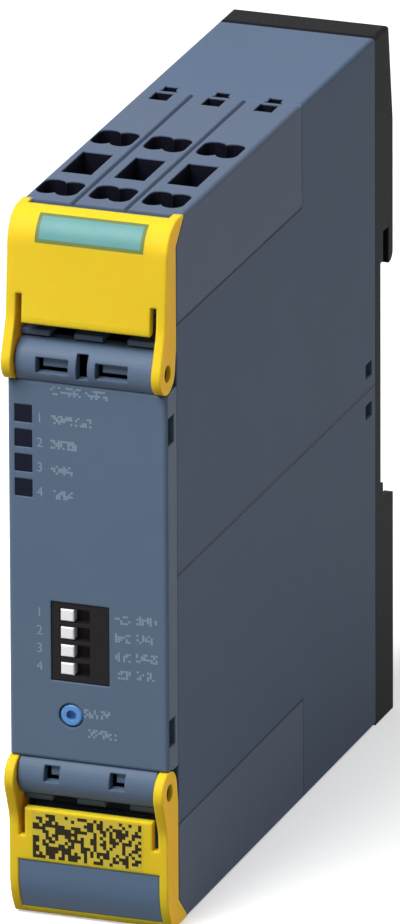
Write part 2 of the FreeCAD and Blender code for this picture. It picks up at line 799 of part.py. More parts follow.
def board_connector():
    """Socket that joins the two boards at a right angle."""
    left = main_board_x + board_thickness
    front = front_board_depth + front_board_thickness
    body = box(left, left + 3.4, front, main_board_front + 6, seam - 6, seam + 6)
    return body


def on_main_board(y0, y1, z0, z1, tall):
    left = main_board_x + board_thickness
    return box(left, left + tall, y0, y1, z0, z1)


def output_relay(level):
    relay = on_main_board(relay_front, relay_back, level - relay_breadth / 2,
                          level + relay_breadth / 2, relay_height)
    top = main_board_x + board_thickness + relay_height
    return relay.makeChamfer(relay_chamfer, [edge for edge in relay.Edges if edge.BoundBox.XMin > top - 0.01])


def power_transformer():
    """Ferrite core with the winding on its middle leg."""
    core_back = core_front + core_length
    middle = (core_front + core_back) / 2
    core = on_main_board(core_front, core_back, core_low, core_top, core_height)
    window = on_main_board(core_front + core_leg, core_back - core_leg, core_low - 1, core_top + 1,
                           core_height - core_leg)
    window = window.cut(on_main_board(middle - core_middle_leg / 2, middle + core_middle_leg / 2,
                                      core_low - 1, core_top + 1, core_height))
    window.translate(Vector(core_leg / 2, 0, 0))
    left = main_board_x + board_thickness + winding_height
    winding = Part.makeCylinder(winding_radius, core_top - core_low - 2, Vector(left, middle, core_low + 1),
                                Vector(0, 0, 1))
    return core.cut(window).fuse(winding).removeSplitter()


def filter_capacitor():
    left = main_board_x + board_thickness
    outline = round_points(capacitor_radius, *capacitor_centre, 0, 360, 24)
    wire = Part.makePolygon([Vector(left, y, z) for y, z in outline[:-1] + outline[:1]])
    return Part.Face(wire).extrude(Vector(relay_height, 0, 0))


def controller_chips():
    return [on_main_board(chip_back - chip_length, chip_back, level - chip_length / 2,
                          level + chip_length / 2, chip_height)
            for level in (seam + chip_reach, seam - chip_reach)]


def optocouplers():
    couplers = []
    for index in range(4):
        front = coupler_front + coupler_pitch * index
        couplers.append(on_main_board(front, front + coupler_length, coupler_low,
                                      coupler_low + coupler_breadth, coupler_height))
    return couplers


# ---------------------------------------------------------------- rail foot
def latch_room(gap):
    """Space for the latch and its travel; the gap is the running clearance round it."""
    low = -1.0
    stem_top = latch_nose_top + 1
    rails = wide_box(latch_rail_half + gap, latch_channel, latch_channel + latch_rail_depth + 2 * gap,
                     low, stem_top)
    stem = wide_box(latch_half + gap, latch_channel + latch_rail_depth, body_depth + 1, low, stem_top)
    nose = wide_box(latch_nose_half + gap, latch_nose_front - gap, body_depth + 1,
                    latch_nose_top - latch_nose_height - latch_travel - 2 * gap, stem_top)
    return rails.fuse([stem, nose])


def rear_base():
    bottom_lip = notch_bottom - 2.1
    outline = [(shell_back, 0), (shell_back, height), (foot_back - 0.4, height),
               (body_depth, height - foot_slope), (body_depth, hook_tip, 1.4),
               (rail_seat + hook_slot, hook_tip), (rail_seat + hook_slot, hook_top), (rail_seat, hook_top),
               (rail_seat, notch_top), (rail_floor, notch_top), (rail_floor, notch_bottom),
               (rail_seat, notch_bottom), (rail_seat, bottom_lip), (body_depth, bottom_lip - 0.6),
               (body_depth, 0)]
    base = side_prism(outline, -half, half)
    base = round_long_edges(base, height, edge_round)
    hollow = side_prism([(shell_back - 1, hook_top + foot_skin), (body_depth - foot_skin, hook_top + foot_skin),
                         (body_depth - foot_skin, height - foot_slope), (foot_back - 0.4 - foot_skin,
                                                                 height - foot_skin),
                         (shell_back - 1, height - foot_skin)], -half + foot_skin, half - foot_skin)
    base = base.cut(hollow).cut(latch_room(run_gap))
    ledge = box(-latch_window_half + 0.4, latch_window_half - 0.4, latch_channel - 0.5, body_depth - 0.8,
                latch_window_low + run_gap, latch_window_low + run_gap + ledge_height)
    outer = half - shell_wall - fit_gap
    inner = outer - clip_thickness
    pieces = [ledge]
    for side in (-1, 1):
        tongue = sorted((side * inner, side * outer))
        pieces.append(box(*tongue, snap_front - 2, shell_back, seam - 6, seam + 6))
        nose = sorted((side * outer, side * (half - snap_inset)))
        for level in (seam - snap_offset, seam + snap_offset):
            reach = snap_height / 2 - fit_gap
            pieces.append(box(*nose, snap_front + fit_gap, snap_front + snap_depth - fit_gap,
                              level - reach, level + reach))
    return base.fuse(pieces).removeSplitter()


def rail_latch():
    back = body_depth - 0.3
    nose_foot = latch_nose_top - latch_nose_height
    front = latch_channel + run_gap
    rails = wide_box(latch_rail_half, front, front + latch_rail_depth, latch_foot_level, nose_foot)
    stem = wide_box(latch_half, front, back, latch_foot_level, nose_foot + 0.5)
    nose = side_prism([(latch_nose_front, nose_foot), (latch_nose_front, latch_nose_top),
                       (latch_nose_front + 0.5, latch_nose_top), (back, latch_nose_top - 1.8),
                       (back, nose_foot)], -latch_nose_half, latch_nose_half)
    window = wide_box(latch_window_half, front - 1, back + 1, latch_window_low, latch_window_high)
    grip = wide_box(latch_half - 2, back - 0.6, back + 1, latch_foot_level - 1, latch_foot_level + 1.2)
    latch = rails.fuse([stem, nose]).cut([window, grip])
    return latch.removeSplitter()


def latch_spring():
    """Compression spring between the ledge on the foot and the top of the latch's window."""
    reach = spring_wire / 2
    low = latch_window_low + run_gap + ledge_height + reach
    high = latch_window_high - reach
    steps = spring_turns * spring_steps
    sections = []
    for step in range(steps + 1):
        angle = 2 * math.pi * step / spring_steps
        level = low + (high - low) * step / steps
        corners = []
        for out, up in ((-reach, -reach), (reach, -reach), (reach, reach), (-reach, reach), (-reach, -reach)):
            corners.append(Vector((spring_radius + out) * math.cos(angle),
                                  spring_depth + (spring_radius + out) * math.sin(angle), level + up))
        sections.append(Part.makePolygon(corners))
    return Part.makeLoft(sections, True, True)


# ---------------------------------------------------------------- export
def export():
    """Write every piece with the origin at the middle of the footprint."""
    eye_front = hinge_depth - eye_radius
    shift = -(eye_front + body_depth) / 2
    pieces = {
        "upper_housing": upper_housing(),
        "lower_housing": lower(housing_half()),
        "rear_base": rear_base(),
        "rail_latch": rail_latch(),
        "latch_spring": latch_spring(),
        "front_cover": front_cover(),
        "upper_terminal_block": terminal_block(),
        "lower_terminal_block": lower(terminal_block()),
        "upper_block_floor": block_floor(),
        "lower_block_floor": lower(block_floor()),
        "upper_current_bars": current_bars(),
        "lower_current_bars": [lower(bar) for bar in current_bars()],
        "upper_clamp_springs": clamp_springs(),
        "lower_clamp_springs": [lower(spring) for spring in clamp_springs()],
        "upper_plug_header": plug_header(),
        "lower_plug_header": lower(plug_header()),
        "upper_plug_pins": plug_pins(),
        "lower_plug_pins": [lower(pin) for pin in plug_pins()],
        "upper_terminal_cover": upper_cover(),
        "lower_terminal_cover": lower_cover(),
        "marking_plate": marking_plate(),
        "light_guides": light_guides(),
        "status_leds": status_leds(),
        "dip_switch": dip_switch(),
        "reset_button": reset_button(),
        "reset_switch": reset_switch(),
        "main_board": main_board(),
        "front_board": front_board(),
        "board_connector": board_connector(),
        "output_relay_1": output_relay(seam + relay_spacing / 2),
        "output_relay_2": output_relay(seam - relay_spacing / 2),
        "power_transformer": power_transformer(),
        "filter_capacitor": filter_capacitor(),
        "controller_chips": controller_chips(),
        "optocouplers": optocouplers(),
    }
    for index, level in enumerate(lever_levels()):
        pieces["dip_lever_%d" % (index + 1)] = dip_lever(level)
    os.makedirs("parts", exist_ok=True)
    for name, piece in pieces.items():
        shape = Part.Compound(piece) if isinstance(piece, list) else piece
        shape.translate(Vector(0, shift, 0))
        shape.exportStep("parts/%s.step" % name)


export()
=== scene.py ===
"""Looks for the slim safety relay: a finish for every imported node, its prints and label, lights and camera.

Lengths are in millimetres in the names and figures below, and turn to metres through mm().
"""
import json
import math

import bpy
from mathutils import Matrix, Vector


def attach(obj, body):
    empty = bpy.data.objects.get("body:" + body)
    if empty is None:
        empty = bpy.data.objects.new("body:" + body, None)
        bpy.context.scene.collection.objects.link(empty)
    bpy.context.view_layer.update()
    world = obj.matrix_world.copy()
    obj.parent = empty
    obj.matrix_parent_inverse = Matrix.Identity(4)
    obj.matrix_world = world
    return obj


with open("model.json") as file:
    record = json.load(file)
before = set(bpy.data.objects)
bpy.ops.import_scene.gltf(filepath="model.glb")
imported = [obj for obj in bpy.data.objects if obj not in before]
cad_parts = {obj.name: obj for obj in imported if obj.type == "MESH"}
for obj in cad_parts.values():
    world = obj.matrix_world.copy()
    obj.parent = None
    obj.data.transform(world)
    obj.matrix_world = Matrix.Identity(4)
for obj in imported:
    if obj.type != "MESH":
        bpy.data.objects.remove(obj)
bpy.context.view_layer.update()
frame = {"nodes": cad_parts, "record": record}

# ---------------------------------------------------------------- sizes shared with the solids
FRONT = -44.5                       # flat grey front, along Y
LOWER_COVER_FACE = FRONT - 0.4      # flat part of the lower cover
# outline of the upper cover's shoulder, as (behind the front, level), and the radius of its bend
SHOULDER = {"foot": (-0.35, 84.9), "corner": (0.8, 100.0), "lip": (5.0, 100.0), "bend": 4.5}
LEVER_LEVELS = (44.01, 41.47, 38.93, 36.39)
WINDOW_LEVELS = (72.0, 68.5, 65.0, 61.5)
MIDDLE_COLUMN = -0.35               # middle row of terminals, along X
PITCH = 7.5                         # one terminal to the next
SEAM = 50.0                         # level where the two halves meet
DECK_LEVEL = 35.45                  # joint under a terminal block, above and below the seam
BLOCK_BACK = FRONT + 54.05          # joint behind a terminal block
HINGE_LEVEL = 29.7                  # middle of the hinge pins, above and below the seam
HINGE_DEPTH = 44.0                  # middle of the hinge pins, ahead of the enclosure's middle
PIN_REACH = 1.25                    # just over the radius of a hinge pin
PIN_END = 9.5                       # the ends of the pins lie further out than this
ARM_SIDE = 10.4                     # the outer sides of the covers' arms lie further out than this
MOUTH_TOP = 49.96                   # from the seam: where the painted shade in an opening starts
MOUTH_DARK = 49.75                  # from the seam: where the painted shade in an opening is fully dark
JOINT_LINE = 0.24                   # half of the shadow line between two pieces


def mm(*values):
    """Millimetres to metres."""
    metres = tuple(value / 1000 for value in values)
    return metres if len(metres) > 1 else metres[0]


def linear(code):
    """sRGB hex to the linear colour that shaders take."""
    parts = [int(code[index:index + 2], 16) / 255 for index in (1, 3, 5)]
    colour = tuple(part / 12.92 if part <= 0.04045 else ((part + 0.055) / 1.055) ** 2.4 for part in parts)
    return colour + (1,)


def add(tree, kind, inputs=None, **settings):
    """Add one node with its settings, and a value or a link on each named input."""
    made = tree.nodes.new(kind)
    for name, value in settings.items():
        setattr(made, name, value)
    for name, value in (inputs or {}).items():
        if isinstance(value, bpy.types.NodeSocket):
            tree.links.new(value, made.inputs[name])
        else:
            made.inputs[name].default_value = value
    return made


def new_material(name):
    """Empty material and its tree."""
    material = bpy.data.materials.new(name)
    material.use_nodes = True
    material.node_tree.nodes.clear()
    return material, material.node_tree


def surface_of(material):
    """The material's main surface node."""
    return next(node for node in material.node_tree.nodes if node.type == "BSDF_PRINCIPLED")


def tint_where(material, factor, colour):
    """Mix one more colour into a finished material by the factor."""
    base = surface_of(material).inputs["Base Color"]
    tinted = add(material.node_tree, "ShaderNodeMix", {"Factor": factor, "A": base.links[0].from_socket,
                                                       "B": linear(colour)}, data_type="RGBA")
    material.node_tree.links.new(tinted.outputs["Result"], base)


# ---------------------------------------------------------------- plastics
def moulded(name, colour, shade, grain=0.35, depth=0.012, rough=(0.42, 0.56), specular=0.4, edge=0.35,
            mottle=9.0, soak=0.0):
    """Injection-moulded plastic, and what looks like it.  A spark-eroded mould leaves a fine even grain; flow
    in the mould makes the colour drift from colour to shade over about a centimetre; edges are softly
    rounded.  grain, depth, edge and mottle are in millimetres.  soak is the share of light that spreads
    inside a paler plastic and comes out warmer."""
    material, tree = new_material(name)
    place = add(tree, "ShaderNodeTexCoord").outputs["Object"]
    drift = add(tree, "ShaderNodeTexNoise", {"Vector": place, "Scale": 1000 / mottle, "Detail": 2.0})
    tone = add(tree, "ShaderNodeMix", {"Factor": drift.outputs["Fac"], "A": linear(colour),
                                       "B": linear(shade)}, data_type="RGBA")
    # the real grain is near 0.1 mm; it is drawn coarser, so that it shows
    grains = add(tree, "ShaderNodeTexNoise", {"Vector": place, "Scale": 1000 / grain, "Detail": 3.0,
                                              "Roughness": 0.6})
    shine = add(tree, "ShaderNodeMapRange", {"Value": grains.outputs["Fac"], "From Min": 0.3, "From Max": 0.7,
                                             "To Min": rough[0], "To Max": rough[1]})
    rounded = add(tree, "ShaderNodeBevel", {"Radius": mm(edge)}, samples=6)
    relief = add(tree, "ShaderNodeBump", {"Height": grains.outputs["Fac"], "Strength": 0.5,
                                          "Distance": mm(depth), "Normal": rounded.outputs["Normal"]})
    surface = add(tree, "ShaderNodeBsdfPrincipled", {"Base Color": tone.outputs["Result"],
                                                     "Roughness": shine.outputs["Result"],
                                                     "Normal": relief.outputs["Normal"], "IOR": 1.46,
                                                     "Specular IOR Level": specular,
                                                     "Subsurface Weight": soak,
                                                     "Subsurface Radius": (1.0, 0.45, 0.12),
                                                     "Subsurface Scale": mm(2.5)})
    add(tree, "ShaderNodeOutputMaterial", {"Surface": surface.outputs["BSDF"]})
    return material


def enclosure_shadows(material, reach, front, back):
    """Painted shade on an enclosure plastic.  A thin dark line of painted shade runs where two pieces of the
    enclosure meet.  Inside the openings painted shade takes the colour to near black just below the mouth,
    where the chambers lie in shade; reach is measured each side of a column, front and back along Y."""
    tree = material.node_tree
    place = add(tree, "ShaderNodeTexCoord").outputs["Object"]
    axes = add(tree, "ShaderNodeSeparateXYZ", {"Vector": place}).outputs
    height = add(tree, "ShaderNodeMath", {0: axes["Z"], 1: mm(SEAM)}, operation="SUBTRACT")
    level = add(tree, "ShaderNodeMath", {0: height.outputs[0]}, operation="ABSOLUTE").outputs[0]

    seam = add(tree, "ShaderNodeMath", {0: level, 1: 0.0, 2: mm(JOINT_LINE)}, operation="COMPARE")
    deck = add(tree, "ShaderNodeMath", {0: level, 1: mm(DECK_LEVEL), 2: mm(JOINT_LINE)}, operation="COMPARE")
    beside = add(tree, "ShaderNodeMath", {0: axes["Y"], 1: mm(BLOCK_BACK)}, operation="LESS_THAN")
    under = add(tree, "ShaderNodeMath", {0: deck.outputs[0], 1: beside.outputs[0]}, operation="MULTIPLY")
    line = add(tree, "ShaderNodeMath", {0: seam.outputs[0], 1: under.outputs[0]}, operation="MAXIMUM")
    # painted shade along the joints between pieces
    tint_where(material, line.outputs[0], "#3c4a5e")

    column = add(tree, "ShaderNodeMath", {0: axes["X"], 1: mm(MIDDLE_COLUMN + PITCH / 2),
                                          2: mm(MIDDLE_COLUMN - PITCH / 2)}, operation="WRAP")
    across = add(tree, "ShaderNodeMath", {0: column.outputs[0], 1: mm(MIDDLE_COLUMN), 2: mm(reach)},
                 operation="COMPARE")
    along = add(tree, "ShaderNodeMath", {0: axes["Y"], 1: mm((front + back) / 2), 2: mm((back - front) / 2)},
                operation="COMPARE")
    over = add(tree, "ShaderNodeMath", {0: across.outputs[0], 1: along.outputs[0]}, operation="MULTIPLY")
    deep = add(tree, "ShaderNodeMapRange", {"Value": level, "From Min": mm(MOUTH_TOP),
                                            "From Max": mm(MOUTH_DARK), "To Min": 0.0, "To Max": 1.0},
               interpolation_type="SMOOTHSTEP")
    opening_shade = add(tree, "ShaderNodeMath", {0: over.outputs[0], 1: deep.outputs["Result"]},
                 operation="MULTIPLY")
    # painted shade: near black inside the terminal openings
    tint_where(material, opening_shade.outputs[0], "#0a0c18")
    return material


def pin_shadows(material):
    """Painted shade on the ends of the hinge pins, deep in the eyes of the covers where little light comes.
    """
    tree = material.node_tree
    place = add(tree, "ShaderNodeTexCoord").outputs["Object"]
    from_seam = add(tree, "ShaderNodeVectorMath", {0: place, 1: mm(0, 0, SEAM)}, operation="SUBTRACT")
    folded = add(tree, "ShaderNodeVectorMath", {0: from_seam.outputs["Vector"]}, operation="ABSOLUTE")
    axes = add(tree, "ShaderNodeSeparateXYZ", {"Vector": folded.outputs["Vector"]}).outputs
    section = add(tree, "ShaderNodeCombineXYZ", {"Y": axes["Y"], "Z": axes["Z"]})
    away = add(tree, "ShaderNodeVectorMath", {0: section.outputs["Vector"],
                                              1: mm(0, HINGE_DEPTH, HINGE_LEVEL)}, operation="DISTANCE")
    on_pin = add(tree, "ShaderNodeMath", {0: away.outputs["Value"], 1: mm(PIN_REACH)}, operation="LESS_THAN")
    outer = add(tree, "ShaderNodeMath", {0: axes["X"], 1: mm(PIN_END)}, operation="GREATER_THAN")
    pin_end_shade = add(tree, "ShaderNodeMath", {0: on_pin.outputs[0], 1: outer.outputs[0]}, operation="MULTIPLY")
    # painted shade on the hinge pin ends
    tint_where(material, pin_end_shade.outputs[0], "#14130c")
    return material


def painted_side_glow(material, colour, strength):
    """Painted warm glow on the outer sides of a pale plastic: an emission that stands in for the light it
    would carry to its sides, where it would come out warm."""
    tree = material.node_tree
    normal = add(tree, "ShaderNodeNewGeometry").outputs["True Normal"]
    facing = add(tree, "ShaderNodeSeparateXYZ", {"Vector": normal})
    turned = add(tree, "ShaderNodeMath", {0: facing.outputs["X"]}, operation="ABSOLUTE")
    # nothing on faces that look ahead, all of it on faces that look sideways
    shown = add(tree, "ShaderNodeMapRange", {"Value": turned.outputs[0], "From Min": 0.6, "From Max": 0.95,
                                             "To Min": 0.0, "To Max": strength})
    place = add(tree, "ShaderNodeTexCoord").outputs["Object"]
    axes = add(tree, "ShaderNodeSeparateXYZ", {"Vector": place})
    outward = add(tree, "ShaderNodeMath", {0: axes.outputs["X"]}, operation="ABSOLUTE")
    outer = add(tree, "ShaderNodeMath", {0: outward.outputs[0], 1: mm(ARM_SIDE)}, operation="GREATER_THAN")
    glow = add(tree, "ShaderNodeMath", {0: shown.outputs["Result"], 1: outer.outputs[0]},
               operation="MULTIPLY")
    surface = surface_of(material)
    # painted light: the outer sides glow warm although the cover is no lamp
    surface.inputs["Emission Color"].default_value = linear(colour)
    tree.links.new(glow.outputs[0], surface.inputs["Emission Strength"])
    return material


def brushed_metal(name, colour, rough, stretch):
    """Rolled and stamped strip: fine streaks along the rolling direction.  stretch is how much finer they are
    on each axis."""
    material, tree = new_material(name)
    place = add(tree, "ShaderNodeTexCoord").outputs["Object"]
    along = add(tree, "ShaderNodeMapping", {"Vector": place, "Scale": stretch})
    streaks = add(tree, "ShaderNodeTexNoise", {"Vector": along.outputs["Vector"], "Scale": 1000 / 0.3,
                                               "Detail": 3.0})
    shine = add(tree, "ShaderNodeMapRange", {"Value": streaks.outputs["Fac"], "To Min": rough - 0.1,
                                             "To Max": rough + 0.1})
    relief = add(tree, "ShaderNodeBump", {"Height": streaks.outputs["Fac"], "Strength": 0.3,
                                          "Distance": mm(0.01)})
    surface = add(tree, "ShaderNodeBsdfPrincipled", {"Base Color": linear(colour), "Metallic": 1.0,
                                                     "Roughness": shine.outputs["Result"],
                                                     "Normal": relief.outputs["Normal"]})
    add(tree, "ShaderNodeOutputMaterial", {"Surface": surface.outputs["BSDF"]})
    return material


# ABS: satin, its grain breaks up every highlight
# the front carries painted shade on the ends of its hinge pins
grey_front = pin_shadows(moulded("abs_blue_grey_front", "#586a80", "#52647b", rough=(0.48, 0.6),
                                 specular=0.25))
# the enclosure carries painted shade in its joint lines and in its openings
housing_grey = enclosure_shadows(moulded("abs_blue_grey_enclosure", "#596a84", "#54657e", rough=(0.5, 0.62),
                                         specular=0.12, mottle=14.0),
                                 reach=1.3, front=FRONT + 54.2, back=FRONT + 56.0)

# glass-filled polyamide: more matt than the ABS, with a slightly coarser grain
foot_black = moulded("polyamide_black_foot", "#1a1b1d", "#171819", rough=(0.5, 0.65), specular=0.06)
# the terminal block carries painted shade in its joint lines and in its openings
block_grey = enclosure_shadows(moulded("polyamide_terminal_block", "#58677f", "#536279", grain=0.4,
                                       rough=(0.5, 0.62), specular=0.2),
                               reach=3.1, front=FRONT + 7.6, back=FRONT + 53.6)
switch_black = moulded("polyamide_switch_body", "#232022", "#1f1c1e", specular=0.1, edge=0.15)

# polycarbonate: smoother and a little shinier; the yellow one lets light soak in, and a painted warm glow on
# its outer sides makes its edges look warm
cover_yellow = painted_side_glow(moulded("polycarbonate_yellow_cover", "#f1ce33", "#ecc42c", grain=0.5,
                                      depth=0.006, rough=(0.38, 0.48), specular=0.05, edge=0.5, mottle=12.0,
                                      soak=0.6), "#ffb400", strength=0.29)
plate_grey = moulded("polycarbonate_marking_plate", "#566c86", "#51667f", rough=(0.4, 0.5), specular=0.25,
                     edge=0.15)
smoked_window = moulded("polycarbonate_smoked_window", "#0c1120", "#101628", grain=0.8, depth=0.003,
                        rough=(0.2, 0.3), specular=0.08, edge=0.15)

# acetal: slippery and dense, with a clear soft highlight
lever_white = moulded("acetal_white_lever", "#f4f5f7", "#e6e9ee", rough=(0.3, 0.4), edge=0.15)
button_blue = moulded("acetal_blue_button", "#5f93cc", "#4f86c2", rough=(0.3, 0.4), edge=0.2)

# inside: cast epoxy, lacquered board, sintered core and shrink sleeve
led_lens = moulded("epoxy_milky_lens", "#dcdcd2", "#d2d2c8", rough=(0.25, 0.35), edge=0.1)
chip_black = moulded("epoxy_chip_package", "#202022", "#19191b", edge=0.1)
board_green = moulded("glass_epoxy_green_board", "#1b5c36", "#174f2f", grain=0.8, rough=(0.3, 0.42),
                      edge=0.1)
relay_case = moulded("polyester_relay_case", "#d2d2ca", "#c8c8c0", edge=0.3)
ferrite_dark = moulded("sintered_ferrite_core", "#2b2b2e", "#232326", grain=0.25, edge=0.2)
capacitor_sleeve = moulded("shrink_sleeve_capacitor", "#1c2338", "#232b44", rough=(0.25, 0.35), edge=0.2)

# rolled strip: streaks that stretch the highlight along the rolling direction
spring_steel = brushed_metal("stainless_spring_strip", "#b8b9bd", 0.32, (1.0, 6.0, 1.0))
tinned_copper = brushed_metal("tinned_copper_bar", "#c9c3b4", 0.38, (6.0, 1.0, 1.0))

FINISHES = {
    "grey_front": grey_front, "housing_grey": housing_grey, "foot_black": foot_black,
    "block_grey": block_grey, "cover_yellow": cover_yellow, "plate_grey": plate_grey,
    "spring_steel": spring_steel, "tinned_copper": tinned_copper, "smoked_window": smoked_window,
    "led_white": led_lens, "switch_black": switch_black, "lever_white": lever_white,
    "button_blue": button_blue, "board_green": board_green, "relay_white": relay_case,
    "ferrite_dark": ferrite_dark, "capacitor_sleeve": capacitor_sleeve, "chip_black": chip_black,
}
for part in frame["record"]["subparts"]:
    for slot in frame["nodes"][part["node"]].material_slots:
        slot.material = FINISHES[part["material_slot"]]


# ---------------------------------------------------------------- prints and label
INK_LIFT = 0.012                    # print above the face that carries it
FILM_LIFT = 0.03                    # label above the cover's shoulder
GROUND_LIFT = 0.01                  # ground of the code above the lower cover
CODE_LIFT = 0.02                    # marks of the code above the lower cover
LABEL_STEPS = 10                    # strips of the label round the bend


def printed(name, colour, rough=0.5):
    """Pad-printed ink: a thin, slightly uneven layer."""
    material, tree = new_material(name)
    place = add(tree, "ShaderNodeTexCoord").outputs["Object"]
    patch = add(tree, "ShaderNodeTexNoise", {"Vector": place, "Scale": 1000 / 0.6, "Detail": 2.0})
    shine = add(tree, "ShaderNodeMapRange", {"Value": patch.outputs["Fac"], "To Min": rough - 0.08,
                                             "To Max": rough + 0.08})
    surface = add(tree, "ShaderNodeBsdfPrincipled", {"Base Color": linear(colour), "IOR": 1.48,
                                                     "Specular IOR Level": 0.15,
                                                     "Roughness": shine.outputs["Result"]})
    add(tree, "ShaderNodeOutputMaterial", {"Surface": surface.outputs["BSDF"]})
    return material


def mesh_piece(name, vertices, faces, materials, indices=None):
    """Piece from vertices in millimetres."""
    mesh = bpy.data.meshes.new(name)
    mesh.from_pydata([mm(*vertex) for vertex in vertices], [], faces)
    for material in materials:
        mesh.materials.append(material)
    for polygon, index in zip(mesh.polygons, indices or []):
        polygon.material_index = index
    mesh.validate()
    piece = bpy.data.objects.new(name, mesh)
    bpy.context.scene.collection.objects.link(piece)
    return piece


def shoulder_arc():
    """Centre and radius of the upper cover's rounded shoulder, in millimetres."""
    corner = Vector(SHOULDER["corner"])
    back = (Vector(SHOULDER["foot"]) - corner).normalized()
    ahead = (Vector(SHOULDER["lip"]) - corner).normalized()
    spread = back.angle(ahead) / 2
    inward = (back + ahead).normalized()
    return corner + inward * (SHOULDER["bend"] / math.sin(spread)), SHOULDER["bend"]


def shoulder_label(left, right, low, high, border):
    """Bare label film on the curve: a frame round a paler field.  low and high are levels."""
    centre, radius = shoulder_arc()
    reach = radius + FILM_LIFT
    first = math.asin((low - centre.y) / radius)
    last = math.asin((high - centre.y) / radius)
    edge = border / radius
    angles = [first, first + edge]
    inner = last - first - 2 * edge
    angles += [first + edge + inner * step / LABEL_STEPS for step in range(1, LABEL_STEPS)]
    angles += [last - edge, last]
    columns = [left, left + border, right - border, right]
    vertices = []
    for angle in angles:
        depth = FRONT + centre.x - reach * math.cos(angle)
        level = centre.y + reach * math.sin(angle)
        vertices += [(x, depth, level) for x in columns]
    faces = []
    indices = []
    for row in range(len(angles) - 1):
        for column in range(3):
            start = row * 4 + column
            faces.append((start, start + 1, start + 5, start + 4))
            rim = row in (0, len(angles) - 2) or column != 1
            indices.append(1 if rim else 0)
    return mesh_piece("shoulder_label", vertices, faces, [label_film, label_frame], indices)


# polyester film: a smooth skin with a faint ripple from the adhesive below
label_film = moulded("polyester_label_film", "#6a9f9e", "#5f9394", grain=0.9, depth=0.01, rough=(0.35, 0.45),
                     specular=0.2, edge=0.05, mottle=3.0)
label_frame = printed("label_frame_ink", "#6f7f4c")
label = shoulder_label(left=-7.4, right=7.9, low=96.1, high=99.5, border=0.5)
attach(label, "upper_cover")


def mark_field_tree(name):
    """Upright field of small square marks.  A share of them is filled by chance, as in a machine-readable
    print or in small print seen from too far away to read."""
    tree = bpy.data.node_groups.new(name, "GeometryNodeTree")
    tree.interface.new_socket("Geometry", in_out="OUTPUT", socket_type="NodeSocketGeometry")
    for socket, kind in (("Width", "Float"), ("Height", "Float"), ("Across", "Int"), ("Up", "Int"),
                         ("Mark", "Float"), ("Share", "Float"), ("Seed", "Int"), ("Centre", "Vector"),
                         ("Ink", "Material")):
        tree.interface.new_socket(socket, in_out="INPUT", socket_type="NodeSocket" + kind)
    given = add(tree, "NodeGroupInput").outputs
    field = add(tree, "GeometryNodeMeshGrid", {"Size X": given["Width"], "Size Y": given["Height"],
                                               "Vertices X": given["Across"], "Vertices Y": given["Up"]})
    upright = add(tree, "GeometryNodeTransform", {"Geometry": field.outputs["Mesh"],
                                                  "Translation": given["Centre"],
                                                  "Rotation": (math.radians(90), 0, 0)})
    kept = add(tree, "FunctionNodeRandomValue", {"Probability": given["Share"], "Seed": given["Seed"]},
               data_type="BOOLEAN")
    mark = add(tree, "GeometryNodeMeshGrid", {"Size X": given["Mark"], "Size Y": given["Mark"],
                                              "Vertices X": 2, "Vertices Y": 2})
    turned = add(tree, "GeometryNodeTransform", {"Geometry": mark.outputs["Mesh"],
                                                 "Rotation": (math.radians(90), 0, 0)})
    # the fourth output is the yes or no
    marks = add(tree, "GeometryNodeInstanceOnPoints", {"Points": upright.outputs["Geometry"],
                                                       "Selection": kept.outputs[3],
                                                       "Instance": turned.outputs["Geometry"]})
    real = add(tree, "GeometryNodeRealizeInstances", {"Geometry": marks.outputs["Instances"]})
    inked = add(tree, "GeometryNodeSetMaterial", {"Geometry": real.outputs["Geometry"],
                                                  "Material": given["Ink"]})
    add(tree, "NodeGroupOutput", {"Geometry": inked.outputs["Geometry"]})
    return tree


def made_by(tree, name, material, **given):
    """Run a geometry tree with its inputs, in metres, and keep the result as a plain piece."""
    holder = bpy.data.objects.new(name + "_holder", bpy.data.meshes.new(name + "_holder"))
    bpy.context.scene.collection.objects.link(holder)
    run = holder.modifiers.new("make", "NODES")
    run.node_group = tree
    sockets = {item.name: item.identifier for item in tree.interface.items_tree if item.in_out == "INPUT"}
    for socket, value in given.items():
        run[sockets[socket]] = value
    run[sockets["Ink"]] = material
    evaluated = holder.evaluated_get(bpy.context.evaluated_depsgraph_get())
    mesh = bpy.data.meshes.new_from_object(evaluated)
    bpy.data.objects.remove(holder)
    mesh.name = name
    piece = bpy.data.objects.new(name, mesh)
    bpy.context.scene.collection.objects.link(piece)
    return piece


front_ink = printed("pad_print_pale_grey", "#8393a3")
code_ink = printed("laser_mark_brown", "#221d0b")
code_ground = printed("laser_field_olive", "#cdb843")
mark_field = mark_field_tree("mark_field")

# patches of pale marks where the front carries its small print
PRINT_PITCH = 0.32
PRINT_GAP = 0.02                    # between two marks
PRINT_ROWS = 4
PRINT_PATCHES = (
    # middle, level, length
    (-3.0, 75.7, 4.0), (1.2, 75.7, 3.2),                                            # under the hinge bar
    (-2.2, 71.6, 5.4), (-3.3, 68.1, 3.4), (-3.6, 64.5, 2.8), (-3.6, 61.0, 2.8),     # beside the windows
    (4.9, 44.3, 1.9), (8.3, 44.5, 2.6), (4.9, 41.7, 1.9), (8.0, 41.9, 2.0),         # beside the levers
    (4.9, 39.0, 1.9), (8.3, 39.2, 2.8), (4.9, 36.5, 1.9), (8.1, 36.7, 2.2),
    (1.2, 30.4, 3.4), (1.6, 27.6, 4.4),                                             # beside the button
)
for number, (middle, level, length) in enumerate(PRINT_PATCHES):
    patch = made_by(mark_field, "print_patch_%02d" % (number + 1), front_ink,
                    Width=mm(length), Height=mm((PRINT_ROWS - 1) * PRINT_PITCH),
                    Across=round(length / PRINT_PITCH), Up=PRINT_ROWS, Mark=mm(PRINT_PITCH - PRINT_GAP),
                    Share=0.5, Seed=number + 3, Centre=mm(middle, FRONT - INK_LIFT, level))
    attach(patch, "relay_body")

